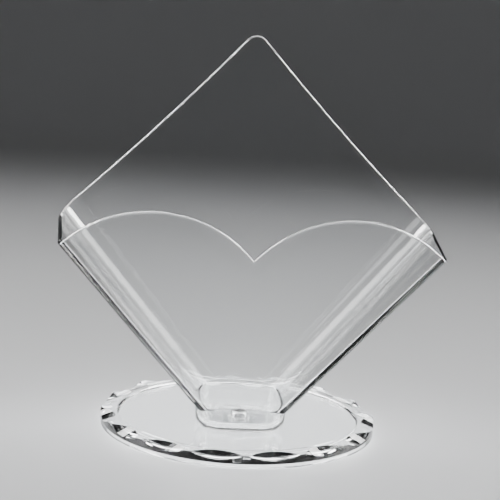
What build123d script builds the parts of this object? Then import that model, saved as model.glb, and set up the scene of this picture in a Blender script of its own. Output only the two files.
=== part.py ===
"""Clear napkin holder: a pocket standing on one corner, on a round scalloped base.

+X is to the right, +Y is towards the tall back panel and +Z is up. The origin is the
centre of the base's underside. All sizes are in millimetres.
"""

import os
from math import cos, hypot, radians, sin

from build123d import *

# Base: a shallow dish with a raised rim, recessed underneath
base_radius = 64.0
base_height = 5.5
rim_inner_radius = 56.5
foot_ring_radius = 61.0
plate_top = 3.6
plate_bottom = 1.2
dish_fillet = 1.2
boss_radius = 7.0
boss_bottom = 0.4

# Base: scoops that slope down and out over the rim and leave it scalloped
scoop_count = 16
scoop_radius = 38.0
scoop_slope = 20.0
scoop_start_radius = 58.0
scoop_length = 30.0

# Pocket: panels
wall = 2.2
back_y = 8.5
front_lean = 0.235
corner_half_width = 82.5
corner_height = 89.2
side_slope = 0.837
back_corner = 14.0
front_corner = 1.6
rim_radius = 0.9

# Pocket: the back panel's upper edges, slightly hollow between apex and shoulder
apex_height = 183.2
apex_round = 6.0
shoulder_half_width = 83.3
shoulder_height = 99.3
edge_far_x = 127.9
edge_far_height = 60.2

# Pocket: the front panel's edge, two arcs that meet in a notch
notch_height = 85.4
arc_peak_x = 41.0
arc_peak_height = 105.3
arc_end_x = 91.0
arc_end_height = 77.5

# Pocket: neck and floor
neck_half_width = 20.5
neck_depth = 39.0
neck_corner = 13.0
neck_height = 17.0
neck_top = 24.0
neck_bottom_round = 5.0
wedge_bottom = 14.0
floor_thickness = 2.4
foot_gap = 0.1
floor_round = 3.5

# Screw and washer
screw_radius = 2.0
screw_clearance = 0.06
screw_tip = 1.0
head_radius = 4.0
head_height = 2.4
head_round = 1.2
recess_length = 4.4
recess_width = 0.9
recess_depth = 1.4
washer_radius = 5.1
washer_thickness = 0.8
washer_gap = 0.05

# Extra reach of cuts and forms that are trimmed later
cut_spare = 1.0
wedge_spare = 20.0

# Least sideways and upward part of a slanted edge's direction
least_slant = 0.1

# Worked out from the sizes above
neck_y = back_y - neck_depth / 2
neck_front_y = back_y - neck_depth
foot_bottom = plate_top + foot_gap
floor_top = foot_bottom + floor_thickness
washer_bottom = floor_top + washer_gap
washer_top = washer_bottom + washer_thickness
head_top = washer_top + head_height
beyond = 4 * base_radius


def side_x(z, inset=0.0):
    """Half-width of the pocket at height z, moved in square to the slanted side."""
    return corner_half_width - side_slope * (corner_height - z) - inset * hypot(1, side_slope)


def front_y(z, inset=0.0):
    """The front panel's outer face at height z, moved in square to the panel."""
    return neck_front_y - front_lean * (z - neck_height) + inset * hypot(1, front_lean)


def runs_up_a_side(edge):
    """True for the slanted edges where a side meets the back or front panel."""
    tangent = edge.tangent_at(0)
    return abs(tangent.X) > least_slant and abs(tangent.Z) > least_slant


def is_rim(edge):
    """True for the long curved edges round the pocket's mouth."""
    curved = edge.geom_type != GeomType.LINE
    return curved and edge.length > back_corner / 2 and edge.center().Z > notch_height


def pocket_form(inset, bottom, bottom_round):
    """The pocket's solid form: a wedge between the panels, and the rounded neck."""
    wedge_top = apex_height + wedge_spare
    with BuildPart() as wedge:
        with BuildSketch(Plane.YZ):
            with BuildLine():
                Polyline(
                    (back_y - inset, wedge_bottom),
                    (back_y - inset, wedge_top),
                    (front_y(wedge_top, inset), wedge_top),
                    (front_y(wedge_bottom, inset), wedge_bottom),
                    close=True,
                )
            make_face()
        extrude(amount=beyond, both=True)
        with BuildSketch(Plane.XZ):
            with BuildLine():
                Polyline(
                    (side_x(wedge_bottom, inset), wedge_bottom),
                    (side_x(wedge_top, inset), wedge_top),
                    (-side_x(wedge_top, inset), wedge_top),
                    (-side_x(wedge_bottom, inset), wedge_bottom),
                    close=True,
                )
            make_face()
        extrude(amount=beyond, both=True, mode=Mode.INTERSECT)
        back_edges = wedge.edges().filter_by(runs_up_a_side).group_by(Axis.Y)[-1]
        fillet(back_edges, radius=back_corner - inset)
        side_edges = wedge.edges().filter_by(runs_up_a_side)
        fillet([edge for edge in side_edges if edge.center().Y < neck_y], radius=front_corner)
    with BuildPart() as form:
        with BuildSketch(Plane.XY.offset(bottom)):
            with Locations((0, neck_y)):
                RectangleRounded(
                    2 * (neck_half_width - inset),
                    neck_depth - 2 * inset,
                    neck_corner - inset,
                )
        extrude(amount=neck_top - bottom)
        fillet(form.faces().sort_by(Axis.Z)[0].edges(), radius=bottom_round)
        add(wedge.part)
    return form.part


outer_form = pocket_form(0, foot_bottom, neck_bottom_round)
cavity_form = pocket_form(wall, floor_top, floor_round)

# The roof cut follows the back panel's upper edges and falls towards the front corners
depth_at_corner = back_y - front_y(corner_height)
fall_to_corner = shoulder_height - corner_height
roof_fall = Vector(0, -depth_at_corner, -fall_to_corner).normalized()
apex = (0, apex_height)
with BuildPart() as roof_cut:
    with BuildSketch(Plane.XZ.offset(-back_y - cut_spare)) as roof_outline:
        with BuildLine():
            ThreePointArc(
                apex,
                (shoulder_half_width, shoulder_height),
                (edge_far_x, edge_far_height),
            )
            Polyline(
                (edge_far_x, edge_far_height),
                (beyond, edge_far_height),
                (beyond, beyond),
                (0, beyond),
            )
            mirror(about=Plane.YZ)
        make_face()
        fillet(roof_outline.vertices().sort_by_distance(apex)[0], radius=apex_round)
    extrude(amount=beyond, dir=roof_fall)

# The front cut removes the front panel above its two arcs
with BuildPart() as front_cut:
    with BuildSketch(Plane.XZ.offset(beyond)):
        with BuildLine():
            ThreePointArc(
                (0, notch_height),
                (arc_peak_x, arc_peak_height),
                (arc_end_x, arc_end_height),
            )
            Polyline(
                (arc_end_x, arc_end_height),
                (beyond, arc_end_height),
                (beyond, beyond),
                (0, beyond),
            )
            mirror(about=Plane.YZ)
        make_face()
    extrude(amount=-2 * beyond)
    inner_face = Plane(
        origin=(0, front_y(corner_height, wall), corner_height),
        x_dir=(1, 0, 0),
        z_dir=(0, 1, front_lean),
    )
    split(bisect_by=inner_face, keep=Keep.BOTTOM)

with BuildPart() as pocket:
    add(outer_form)
    add(roof_cut.part, mode=Mode.SUBTRACT)
    add(cavity_form, mode=Mode.SUBTRACT)
    add(front_cut.part, mode=Mode.SUBTRACT)
    fillet(pocket.edges().filter_by(is_rim).filter_by(GeomType.ELLIPSE), radius=rim_radius)
    back_rim = pocket.edges().filter_by(is_rim).filter_by(GeomType.BSPLINE)
    fillet([edge for edge in back_rim if edge.center().Y > neck_front_y], radius=rim_radius)
    with BuildSketch(Plane.XY):
        with Locations((0, neck_y)):
            Circle(screw_radius + screw_clearance)
    extrude(amount=floor_top + cut_spare, mode=Mode.SUBTRACT)
pocket.part.label = "pocket"

# One scoop, turned round the base for all the scallops
with BuildPart() as scoop:
    scoop_plane = Plane(
        origin=(scoop_start_radius, 0, base_height),
        x_dir=(0, 1, 0),
        z_dir=(cos(radians(scoop_slope)), 0, -sin(radians(scoop_slope))),
    )
    with BuildSketch(scoop_plane):
        with Locations((0, scoop_radius)):
            Circle(scoop_radius)
    extrude(amount=scoop_length, both=True)

with BuildPart() as base:
    with BuildSketch(Plane.XZ):
        with BuildLine():
            Polyline(
                (0, plate_bottom),
                (foot_ring_radius, plate_bottom),
                (foot_ring_radius, 0),
                (base_radius, 0),
                (base_radius, base_height),
                (rim_inner_radius, base_height),
                (rim_inner_radius, plate_top),
                (0, plate_top),
                close=True,
            )
        make_face()
    revolve(axis=Axis.Z)
    dish_edge = base.edges().filter_by(GeomType.CIRCLE).filter_by_position(
        Axis.Z, plate_top, plate_top
    )
    fillet(dish_edge, radius=dish_fillet)
    with PolarLocations(0, scoop_count, start_angle=180 / scoop_count):
        add(scoop.part, mode=Mode.SUBTRACT)
    with Locations((0, neck_y, boss_bottom)):
        Cylinder(boss_radius, plate_bottom - boss_bottom, align=(Align.CENTER, Align.CENTER, Align.MIN))
    with Locations((0, neck_y, 0)):
        Hole(screw_radius, depth=plate_top)
base.part.label = "base"

with BuildPart() as washer:
    with BuildSketch(Plane.XY.offset(washer_bottom)):
        with Locations((0, neck_y)):
            Circle(washer_radius)
            Circle(screw_radius + screw_clearance, mode=Mode.SUBTRACT)
    extrude(amount=washer_thickness)
washer.part.label = "washer"

with BuildPart() as screw:
    with BuildSketch(Plane.XY.offset(screw_tip)):
        with Locations((0, neck_y)):
            Circle(screw_radius)
    extrude(amount=washer_top - screw_tip)
    with BuildSketch(Plane.XY.offset(washer_top)):
        with Locations((0, neck_y)):
            Circle(head_radius)
    extrude(amount=head_height)
    fillet(screw.faces().sort_by(Axis.Z)[-1].edges(), radius=head_round)
    with BuildSketch(Plane.XY.offset(head_top)):
        with Locations((0, neck_y)):
            Rectangle(recess_length, recess_width)
            Rectangle(recess_width, recess_length)
    extrude(amount=-recess_depth, mode=Mode.SUBTRACT)
screw.part.label = "screw"

os.makedirs("parts", exist_ok=True)
export_step(pocket.part, "parts/pocket.step")
export_step(base.part, "parts/base.step")
export_step(screw.part, "parts/screw.step")
export_step(washer.part, "parts/washer.step")
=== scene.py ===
"""Clear napkin holder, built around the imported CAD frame. Lengths are in metres."""

from math import cos, pi, sin

import bmesh
import bpy
from mathutils import Matrix, Vector

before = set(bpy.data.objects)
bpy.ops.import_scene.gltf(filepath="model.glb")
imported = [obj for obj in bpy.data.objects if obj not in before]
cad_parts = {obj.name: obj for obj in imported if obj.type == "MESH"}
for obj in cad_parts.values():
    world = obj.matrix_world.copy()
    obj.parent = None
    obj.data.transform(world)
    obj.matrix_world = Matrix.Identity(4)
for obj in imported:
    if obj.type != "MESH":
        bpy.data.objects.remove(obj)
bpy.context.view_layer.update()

MM = 0.001

# Camera: in front, to the left and a little above. Angles are in radians, the lens in mm
CAMERA_PLACE = (-0.0407, -0.5442, 0.1727)
CAMERA_DOWN = 0.1638
CAMERA_ROLL = 0.0575
CAMERA_TURN = 0.0775
CAMERA_LENS = 86.4

# Clear moulded plastic, rough only where dust and rubbing have dulled it
PLASTIC_IOR = 1.50
PLASTIC_TINT = (0.985, 0.992, 0.995, 1.0)
LAMP_PASS = (0.88, 0.885, 0.89, 1.0)
POLISH_ROUGHNESS = 0.012
RUB_SCALE = 90.0
RUB_DETAIL = 6.0
RUB_ROUGHNESS = 0.7
RUB_RANGE = (0.45, 0.75)
FLOW_DETAIL = 1.5
FLOW_HEIGHT = 0.4 * MM

# Stretch of noise over which the metal's and the nylon's mottling changes tone
MOTTLE_RANGE = (0.3, 0.7)
MOTTLE_DETAIL = 3.0

# Plated steel
STEEL_SCALE = 700.0
STEEL_TONE = (0.34, 0.5)
STEEL_ROUGHNESS = (0.16, 0.3)
GRAIN_SCALE = 2500.0
GRAIN_DETAIL = 2.0
GRAIN_STRENGTH = 0.15
GRAIN_HEIGHT = 0.05 * MM

# Natural nylon
NYLON_IOR = 1.53
NYLON_TRANSMISSION = 0.85
NYLON_SCALE = 400.0
NYLON_TONE = (0.84, 0.93)
NYLON_ROUGHNESS = (0.18, 0.32)

# Floor: flat under the object, then swept up all round, so no view has a horizon
FLOOR_COLOUR = (0.31, 0.314, 0.318, 1.0)
FLOOR_ROUGHNESS = 0.5
FLOOR_SPECULAR = 0.3
FLOOR_DROP = 0.2 * MM
FLOOR_RADIUS = 1.4
SWEEP_RADIUS = 0.6
SWEEP_TOP = 2.4
SWEEP_STEPS = 12
ROUND_STEPS = 96

# Lights
LIGHT_AIM = (0.0, 0.0, 0.08)
ROOM_COLOUR = (0.05, 0.052, 0.055, 1.0)


def new_look(name):
    """A new material with a principled shader: the material, nodes, link maker, output and shader."""
    material = bpy.data.materials.new(name)
    material.use_nodes = True
    nodes = material.node_tree.nodes
    nodes.clear()
    out = nodes.new("ShaderNodeOutputMaterial")
    shader = nodes.new("ShaderNodeBsdfPrincipled")
    return material, nodes, material.node_tree.links.new, out, shader


def noise(nodes, link, scale, detail, roughness=0.5):
    """A noise texture that is fixed to the object."""
    place = nodes.new("ShaderNodeTexCoord")
    node = nodes.new("ShaderNodeTexNoise")
    node.inputs["Scale"].default_value = scale
    node.inputs["Detail"].default_value = detail
    node.inputs["Roughness"].default_value = roughness
    link(place.outputs["Object"], node.inputs["Vector"])
    return node


def feed_levels(nodes, link, source, span, levels, socket):
    """Turns a stretch of noise into a change between two grey levels, and feeds it to a socket."""
    node = nodes.new("ShaderNodeValToRGB")
    for element, place, level in zip(node.color_ramp.elements, span, levels):
        element.position = place
        element.color = (level, level, level, 1.0)
    link(source.outputs["Fac"], node.inputs["Fac"])
    link(node.outputs["Color"], socket)


def feed_bump(nodes, link, source, strength, height, shader):
    """Gives a shader a fine relief from a noise."""
    node = nodes.new("ShaderNodeBump")
    node.inputs["Strength"].default_value = strength
    node.inputs["Distance"].default_value = height
    link(source.outputs["Fac"], node.inputs["Height"])
    link(node.outputs["Normal"], shader.inputs["Normal"])


def let_lamps_through(nodes, link, shader, out):
    """Lets most lamp light pass, so the plastic's shadow stays light."""
    passing = nodes.new("ShaderNodeBsdfTransparent")
    passing.inputs["Color"].default_value = LAMP_PASS
    path = nodes.new("ShaderNodeLightPath")
    mix = nodes.new("ShaderNodeMixShader")
    link(path.outputs["Is Shadow Ray"], mix.inputs["Fac"])
    link(shader.outputs["BSDF"], mix.inputs[1])
    link(passing.outputs["BSDF"], mix.inputs[2])
    link(mix.outputs["Shader"], out.inputs["Surface"])


def clear_plastic(name, flow_scale, flow_strength, haze):
    """Polished clear moulding: faint flow waves, fine dust haze and a few rub marks."""
    material, nodes, link, out, shader = new_look(name)
    shader.inputs["Base Color"].default_value = PLASTIC_TINT
    shader.inputs["Transmission Weight"].default_value = 1.0
    shader.inputs["IOR"].default_value = PLASTIC_IOR
    rub = noise(nodes, link, RUB_SCALE, RUB_DETAIL, RUB_ROUGHNESS)
    feed_levels(nodes, link, rub, RUB_RANGE, (POLISH_ROUGHNESS, haze), shader.inputs["Roughness"])
    flow = noise(nodes, link, flow_scale, FLOW_DETAIL)
    feed_bump(nodes, link, flow, flow_strength, FLOW_HEIGHT, shader)
    let_lamps_through(nodes, link, shader, out)
    return material


def screw_steel():
    """Plated steel, faintly mottled, with a fine grain."""
    material, nodes, link, out, shader = new_look("screw_steel_look")
    shader.inputs["Metallic"].default_value = 1.0
    stain = noise(nodes, link, STEEL_SCALE, MOTTLE_DETAIL)
    feed_levels(nodes, link, stain, MOTTLE_RANGE, STEEL_TONE, shader.inputs["Base Color"])
    feed_levels(nodes, link, stain, MOTTLE_RANGE, STEEL_ROUGHNESS, shader.inputs["Roughness"])
    grain = noise(nodes, link, GRAIN_SCALE, GRAIN_DETAIL)
    feed_bump(nodes, link, grain, GRAIN_STRENGTH, GRAIN_HEIGHT, shader)
    link(shader.outputs["BSDF"], out.inputs["Surface"])
    return material


def washer_nylon():
    """Natural nylon: milky, part clear."""
    material, nodes, link, out, shader = new_look("washer_nylon_look")
    shader.inputs["Transmission Weight"].default_value = NYLON_TRANSMISSION
    shader.inputs["IOR"].default_value = NYLON_IOR
    cloud = noise(nodes, link, NYLON_SCALE, MOTTLE_DETAIL)
    feed_levels(nodes, link, cloud, MOTTLE_RANGE, NYLON_TONE, shader.inputs["Base Color"])
    feed_levels(nodes, link, cloud, MOTTLE_RANGE, NYLON_ROUGHNESS, shader.inputs["Roughness"])
    link(shader.outputs["BSDF"], out.inputs["Surface"])
    return material


def stage_material():
    """Plain grey, nearly matt."""
    material, nodes, link, out, shader = new_look("stage_grey")
    shader.inputs["Base Color"].default_value = FLOOR_COLOUR
    shader.inputs["Roughness"].default_value = FLOOR_ROUGHNESS
    shader.inputs["Specular IOR Level"].default_value = FLOOR_SPECULAR
    link(shader.outputs["BSDF"], out.inputs["Surface"])
    return material


def dress(node, material):
    """Gives a carried-over CAD node one material."""
    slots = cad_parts[node].data.materials
    slots.clear()
    slots.append(material)


def floor_profile():
    """The floor's radius and height, from its flat edge up the sweep to its top."""
    profile = [(FLOOR_RADIUS, 0.0)]
    for step in range(1, SWEEP_STEPS + 1):
        bend = 0.5 * pi * step / SWEEP_STEPS
        profile.append((
            FLOOR_RADIUS + SWEEP_RADIUS * sin(bend),
            SWEEP_RADIUS * (1.0 - cos(bend)),
        ))
    profile.append((FLOOR_RADIUS + SWEEP_RADIUS, SWEEP_TOP))
    return profile


def floor_ring(form, radius, height):
    """One ring of points round the floor."""
    ring = []
    for step in range(ROUND_STEPS):
        turn = 2.0 * pi * step / ROUND_STEPS
        ring.append(form.verts.new((radius * cos(turn), radius * sin(turn), height)))
    return ring


def swept_floor():
    """The round floor and backdrop, as one object."""
    form = bmesh.new()
    rings = [floor_ring(form, radius, height) for radius, height in floor_profile()]
    form.faces.new(rings[0])
    for inner, outer in zip(rings, rings[1:]):
        for step in range(ROUND_STEPS):
            after = (step + 1) % ROUND_STEPS
            face = form.faces.new((inner[step], outer[step], outer[after], inner[after]))
            face.smooth = True
    mesh = bpy.data.meshes.new("floor")
    form.to_mesh(mesh)
    form.free()
    mesh.materials.append(stage_material())
    swept = bpy.data.objects.new("floor", mesh)
    swept.location.z = -FLOOR_DROP
    bpy.context.scene.collection.objects.link(swept)
    return swept


def softbox(name, place, width, height, power, lights_floor=True):
    """A rectangular area light that faces the object.

    With lights_floor off it shows only in gloss and glass.
    """
    light = bpy.data.lights.new(name, "AREA")
    light.shape = "RECTANGLE"
    light.size = width
    light.size_y = height
    light.energy = power
    lamp = bpy.data.objects.new(name, light)
    lamp.location = place
    lamp.rotation_euler = (Vector(LIGHT_AIM) - Vector(place)).to_track_quat("-Z", "Y").to_euler()
    lamp.visible_diffuse = lights_floor
    lamp.visible_camera = False
    bpy.context.scene.collection.objects.link(lamp)


dress("pocket", clear_plastic("pocket_look", flow_scale=14.0, flow_strength=0.05, haze=0.05))
dress("base", clear_plastic("base_look", flow_scale=30.0, flow_strength=0.08, haze=0.07))
dress("screw", screw_steel())
dress("washer", washer_nylon())

# Floor, backdrop and lights
floor = swept_floor()

softbox("top_box", place=(0.0, 0.1, 0.9), width=0.7, height=0.5, power=9.5)
softbox("front_box", place=(-0.5, -1.1, 0.8), width=0.6, height=0.6, power=4.0)
for side, offset in (("left", -0.6), ("right", 0.6)):
    softbox(
        side + "_card",
        place=(offset, -0.05, 0.3),
        width=0.35,
        height=0.8,
        power=80.0,
        lights_floor=False,
    )
softbox("back_card", place=(0.0, 0.9, 0.75), width=1.6, height=0.3, power=30.0, lights_floor=False)

world = bpy.data.worlds.new("studio")
world.use_nodes = True
world.node_tree.nodes["Background"].inputs["Color"].default_value = ROOM_COLOUR
bpy.context.scene.world = world

# Camera
ahead = Vector((
    sin(CAMERA_TURN) * cos(CAMERA_DOWN),
    cos(CAMERA_TURN) * cos(CAMERA_DOWN),
    -sin(CAMERA_DOWN),
))
right = Vector((cos(CAMERA_TURN), -sin(CAMERA_TURN), 0.0))
up = right.cross(ahead)
rolled_right = cos(CAMERA_ROLL) * right + sin(CAMERA_ROLL) * up
rolled_up = cos(CAMERA_ROLL) * up - sin(CAMERA_ROLL) * right
camera_data = bpy.data.cameras.new("camera")
camera_data.lens = CAMERA_LENS
camera = bpy.data.objects.new("camera", camera_data)
camera.matrix_world = Matrix.Translation(CAMERA_PLACE) @ Matrix((
    rolled_right, rolled_up, -ahead
)).transposed().to_4x4()
bpy.context.scene.collection.objects.link(camera)
bpy.context.scene.camera = camera
